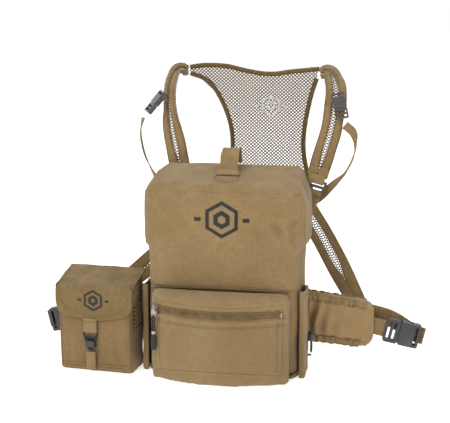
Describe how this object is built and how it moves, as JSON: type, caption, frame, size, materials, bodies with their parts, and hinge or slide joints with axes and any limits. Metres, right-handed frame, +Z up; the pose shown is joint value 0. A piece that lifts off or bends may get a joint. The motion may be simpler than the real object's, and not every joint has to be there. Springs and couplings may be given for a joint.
{
  "type": "binocular harness pack",
  "caption": "Chest harness pack: soft bucket with forward-opening hood, zipped front pocket, mesh yoke, padded waist wings with buckles, and a flap pouch.",
  "frame": {"origin": "on the floor, at the middle of the flat base under the bucket", "axes": "+X across the pack, -Y out of its front, +Y towards the wearer, +Z up"},
  "size_m": [0.4517, 0.1922, 0.3421],
  "materials": {
    "tan_fabric": "tightly woven nylon, slightly brushed",
    "tan_webbing": "ribbed nylon webbing",
    "open_mesh": "open knitted spacer mesh",
    "strap_mesh": "padded strap with bound edges and a mesh middle",
    "elastic_cord": "braided elastic",
    "foam": "closed-cell foam",
    "black_plastic": "moulded acetal, fine texture",
    "stiffener_plastic": "polyethylene sheet",
    "zip_pull_rubber": "moulded soft pull on a small metal link",
    "zip_coil": "coil zip on woven tape",
    "zip_metal": "plated zinc",
    "spring_steel": "plain wire",
    "magnet_metal": "nickel plated"
  },
  "bodies": {
    "pack": {"adjuster_webs": "tan_webbing", "back_foam": "foam", "back_panel": "tan_fabric", "base_panel": "tan_fabric", "base_stiffener": "stiffener_plastic", "bucket_walls": "tan_fabric", "cord_lock_barrel": "black_plastic", "cord_lock_spring": "spring_steel", "front_pocket": "tan_fabric", "lower_arm_left": "strap_mesh", "lower_arm_right": "strap_mesh", "pocket_zip": "zip_coil", "pouch_belt_loops": "tan_webbing", "pouch_body": "tan_fabric", "pouch_hook": "black_plastic", "pouch_side_lacing": "tan_webbing", "rear_web_left": "tan_webbing", "rear_web_right": "tan_webbing", "rim_magnets": "magnet_metal", "shoulder_strap_left": "strap_mesh", "shoulder_strap_right": "strap_mesh", "side_elastic_loop": "elastic_cord", "side_pocket_left": "tan_fabric", "side_pocket_right": "tan_fabric", "strap_end_loops": "tan_webbing", "tether_socket_left": "black_plastic", "tether_socket_right": "black_plastic", "tether_webs": "tan_webbing", "waist_plug_left": "black_plastic", "waist_plug_right": "black_plastic", "wing_left": "tan_fabric", "wing_right": "tan_fabric", "wing_webs": "tan_webbing", "yoke_binding": "tan_webbing", "yoke_mesh": "open_mesh"},
    "hood": {"hood_shell": "tan_fabric", "hood_magnets": "magnet_metal", "pull_tab": "tan_webbing", "pull_tab_patch": "tan_webbing"},
    "zip_slider": {"zip_slider": "zip_metal"},
    "zip_pull": {"zip_pull": "zip_pull_rubber"},
    "cord_lock_button": {"cord_lock_button": "black_plastic"},
    "pouch_flap": {"pouch_flap": "tan_fabric", "flap_tab": "tan_webbing", "closure_cord": "elastic_cord"},
    "closure_pull": {"closure_pull_tab": "tan_webbing"},
    "ladder_lock_left": {"ladder_lock_left": "black_plastic"},
    "waist_socket_left": {"waist_socket_left": "black_plastic"},
    "tether_plug_left": {"tether_plug_left": "black_plastic"},
    "waist_latch_left_a": {"waist_latch_left_a": "black_plastic"},
    "tether_latch_left_a": {"tether_latch_left_a": "black_plastic"},
    "waist_latch_left_b": {"waist_latch_left_b": "black_plastic"},
    "tether_latch_left_b": {"tether_latch_left_b": "black_plastic"},
    "ladder_lock_right": {"ladder_lock_right": "black_plastic"},
    "waist_socket_right": {"waist_socket_right": "black_plastic"},
    "tether_plug_right": {"tether_plug_right": "black_plastic"},
    "waist_latch_right_a": {"waist_latch_right_a": "black_plastic"},
    "tether_latch_right_a": {"tether_latch_right_a": "black_plastic"},
    "waist_latch_right_b": {"waist_latch_right_b": "black_plastic"},
    "tether_latch_right_b": {"tether_latch_right_b": "black_plastic"}
  },
  "joints": [
    {"name": "hood_hinge", "type": "hinge", "parent": "pack", "child": "hood", "pos_m": [0, -0.038, 0.14825], "axis": [1, 0, 0], "range_deg": [0, 130]},
    {"name": "zip_travel", "type": "hinge", "parent": "pack", "child": "zip_slider", "pos_m": [0, 0.0941, 0.081], "axis": [0, 0, 1], "range_deg": [0, 51.12]},
    {"name": "zip_pull_swing", "type": "hinge", "parent": "zip_slider", "child": "zip_pull", "pos_m": [-0.07261, -0.05756, 0.0818], "axis": [-0.902, 0.4318, 0], "range_deg": [0, 80]},
    {"name": "cord_lock_press", "type": "slide", "parent": "pack", "child": "cord_lock_button", "axis": [0, 0, -1], "range_m": [0, 0.002], "stiffness_N_per_m": 600, "deforming": ["cord_lock_spring"]},
    {"name": "flap_hinge", "type": "hinge", "parent": "pack", "child": "pouch_flap", "pos_m": [-0.1408, 0.00477, 0.1124], "axis": [-0.9945, 0.1045, 0], "range_deg": [0, 110], "deforming": ["closure_cord"]},
    {"name": "closure_pull_swing", "type": "hinge", "parent": "pouch_flap", "child": "closure_pull", "pos_m": [-0.15, -0.04453, 0.02785], "axis": [-0.9945, 0.1045, 0], "range_deg": [0, 80]},
    {"name": "ladder_tilt_left", "type": "hinge", "parent": "pack", "child": "ladder_lock_left", "pos_m": [-0.0631, 0.05584, 0.21535], "axis": [0.9635, -0.0009, 0.2677], "range_deg": [0, 35], "deforming": ["adjuster_webs"]},
    {"name": "ladder_tilt_right", "type": "hinge", "parent": "pack", "child": "ladder_lock_right", "pos_m": [0.0947, 0.0558, 0.21233], "axis": [0.9667, 0.0004, -0.2559], "range_deg": [0, 35], "deforming": ["adjuster_webs"]},
    {"name": "waist_release_left", "type": "slide", "parent": "pack", "child": "waist_socket_left", "axis": [-0.9703, 0.0983, -0.2211], "range_m": [0, 0.022], "deforming": ["rear_web_left", "waist_latch_left_a", "waist_latch_left_b"]},
    {"name": "waist_squeeze_left_a", "type": "hinge", "parent": "pack", "child": "waist_latch_left_a", "pos_m": [-0.19774, 0.02568, 0.04995], "axis": [-0.0958, -0.9952, -0.0217], "range_deg": [0, 6], "stiffness_Nm_per_rad": 0.08},
    {"name": "waist_squeeze_left_b", "type": "hinge", "parent": "pack", "child": "waist_latch_left_b", "pos_m": [-0.19444, 0.02568, 0.03549], "axis": [0.0958, 0.9952, 0.0217], "range_deg": [0, 6], "stiffness_Nm_per_rad": 0.08},
    {"name": "tether_release_left", "type": "slide", "parent": "pack", "child": "tether_plug_left", "axis": [-0.6049, -0.2616, -0.7521], "range_m": [0, 0.012], "deforming": ["tether_webs", "tether_latch_left_a", "tether_latch_left_b"]},
    {"name": "tether_squeeze_left_a", "type": "hinge", "parent": "tether_plug_left", "child": "tether_latch_left_a", "pos_m": [-0.09729, 0.06691, 0.2953], "axis": [-0.6292, -0.4219, 0.6528], "range_deg": [0, 6], "stiffness_Nm_per_rad": 0.02},
    {"name": "tether_squeeze_left_b", "type": "hinge", "parent": "tether_plug_left", "child": "tether_latch_left_b", "pos_m": [-0.10117, 0.07381, 0.29602], "axis": [0.6292, 0.4219, -0.6528], "range_deg": [0, 6], "stiffness_Nm_per_rad": 0.02},
    {"name": "waist_release_right", "type": "slide", "parent": "pack", "child": "waist_socket_right", "axis": [0.9691, 0.1104, -0.2208], "range_m": [0, 0.022], "deforming": ["rear_web_right", "waist_latch_right_a", "waist_latch_right_b"]},
    {"name": "waist_squeeze_right_a", "type": "hinge", "parent": "pack", "child": "waist_latch_right_a", "pos_m": [0.19774, 0.03189, 0.04995], "axis": [-0.1077, 0.9939, 0.0244], "range_deg": [0, 6], "stiffness_Nm_per_rad": 0.08},
    {"name": "waist_squeeze_right_b", "type": "hinge", "parent": "pack", "child": "waist_latch_right_b", "pos_m": [0.19444, 0.03189, 0.03549], "axis": [0.1077, -0.9939, -0.0244], "range_deg": [0, 6], "stiffness_Nm_per_rad": 0.08},
    {"name": "tether_release_right", "type": "slide", "parent": "pack", "child": "tether_plug_right", "axis": [0.2144, -0.1979, -0.9565], "range_m": [0, 0.012], "deforming": ["tether_webs", "tether_latch_right_a", "tether_latch_right_b"]},
    {"name": "tether_squeeze_right_a", "type": "hinge", "parent": "tether_plug_right", "child": "tether_latch_right_a", "pos_m": [0.12465, 0.06704, 0.29705], "axis": [-0.0388, -0.9802, 0.1941], "range_deg": [0, 6], "stiffness_Nm_per_rad": 0.02},
    {"name": "tether_squeeze_right_b", "type": "hinge", "parent": "tether_plug_right", "child": "tether_latch_right_b", "pos_m": [0.11689, 0.067, 0.29531], "axis": [0.0388, 0.9802, -0.1941], "range_deg": [0, 6], "stiffness_Nm_per_rad": 0.02}
  ],
  "couplings": [
    {"joint": "waist_squeeze_left_b", "follows": "waist_squeeze_left_a", "ratio": 1},
    {"joint": "tether_squeeze_left_b", "follows": "tether_squeeze_left_a", "ratio": 1},
    {"joint": "waist_squeeze_right_b", "follows": "waist_squeeze_right_a", "ratio": 1},
    {"joint": "tether_squeeze_right_b", "follows": "tether_squeeze_right_a", "ratio": 1}
  ]
}
